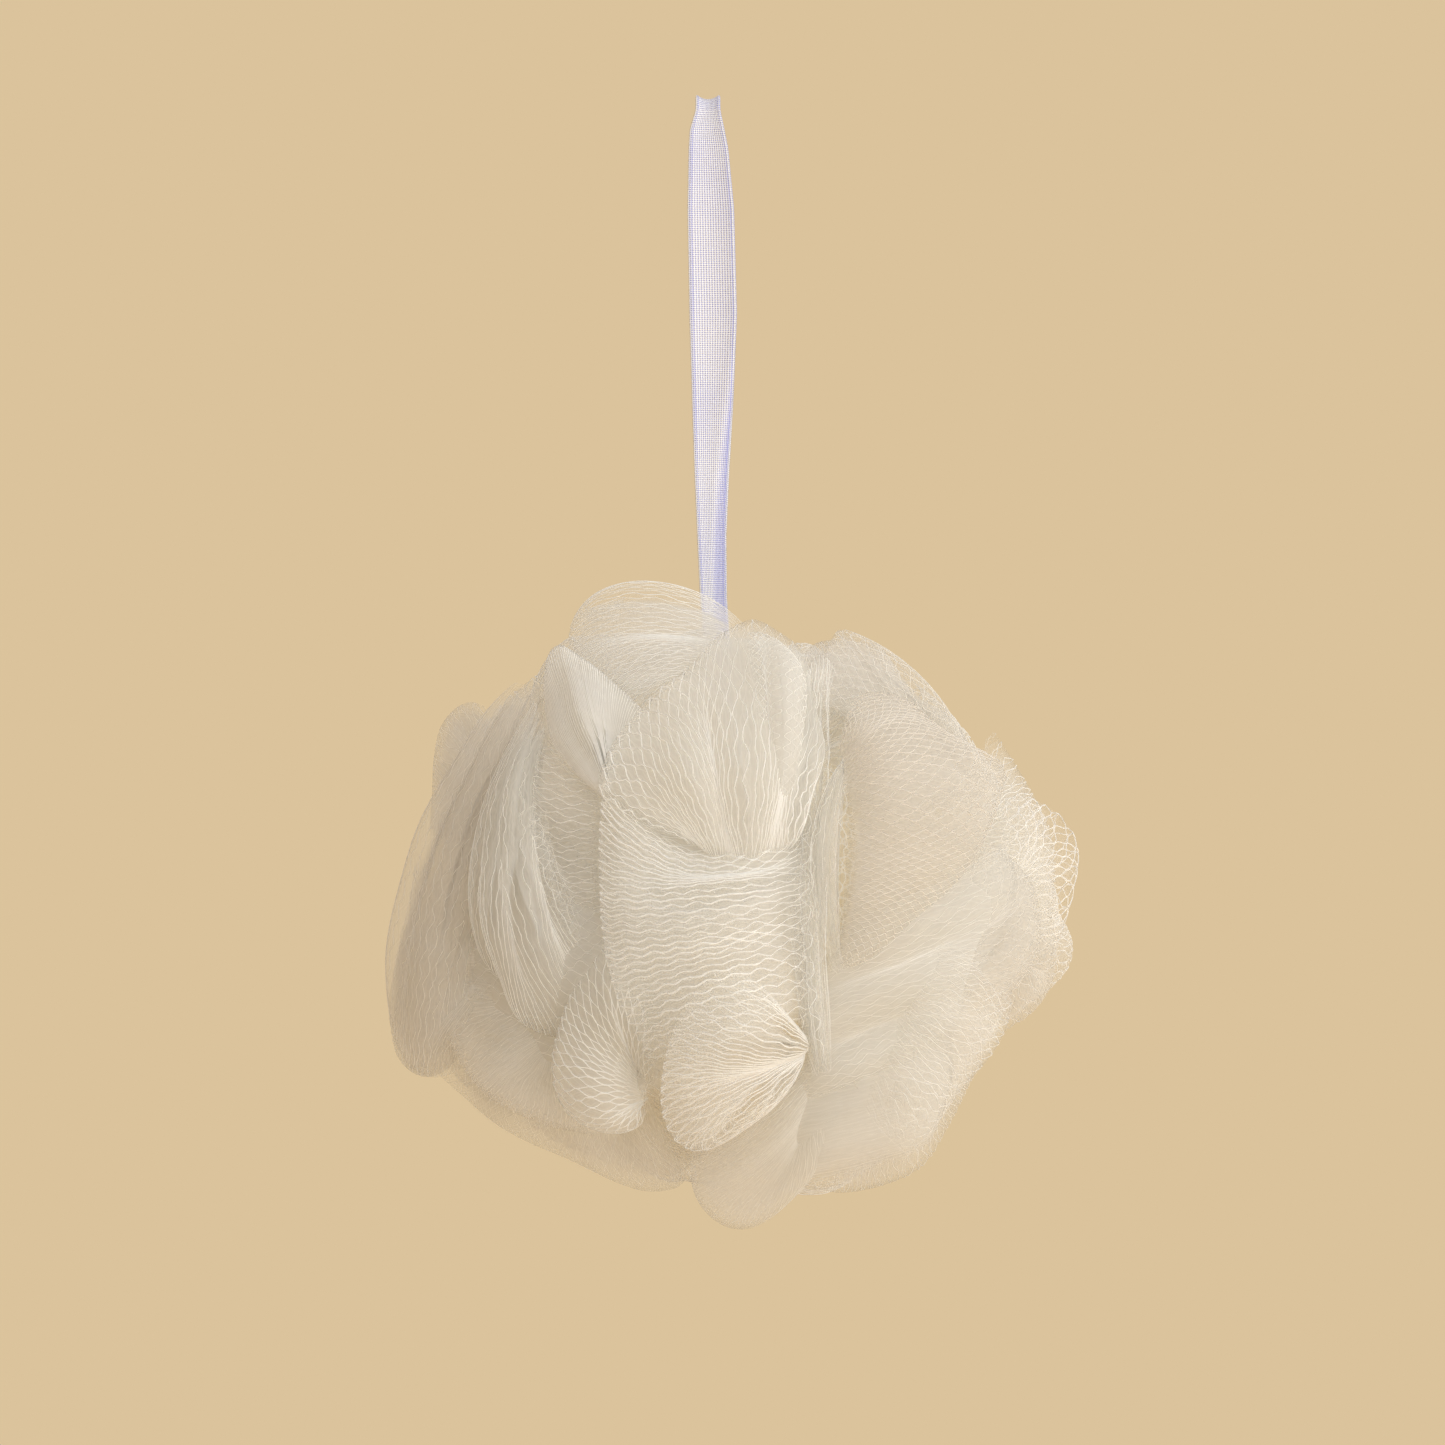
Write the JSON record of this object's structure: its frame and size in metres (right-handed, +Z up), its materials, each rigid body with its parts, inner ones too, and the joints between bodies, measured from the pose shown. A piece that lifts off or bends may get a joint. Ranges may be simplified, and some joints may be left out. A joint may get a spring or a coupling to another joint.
{
  "type": "bath pouf",
  "caption": "Ball of gathered mesh netting for washing, bound at its waist by a cord and hung from a narrow woven ribbon loop.",
  "frame": {"origin": "inside top of the hanging ribbon loop, where the hook bears", "axes": "+Z up along the hanging ribbon, -Y to the front, +X to the right as seen from the front"},
  "size_m": [0.1461, 0.129, 0.2402],
  "materials": {
    "netting": "soft translucent netting",
    "cord": "matte twine",
    "ribbon": "woven satin"
  },
  "bodies": {
    "root": {"net_ruffle": "netting", "binding_cord": "cord", "ribbon_loop": "ribbon"}
  },
  "joints": []
}
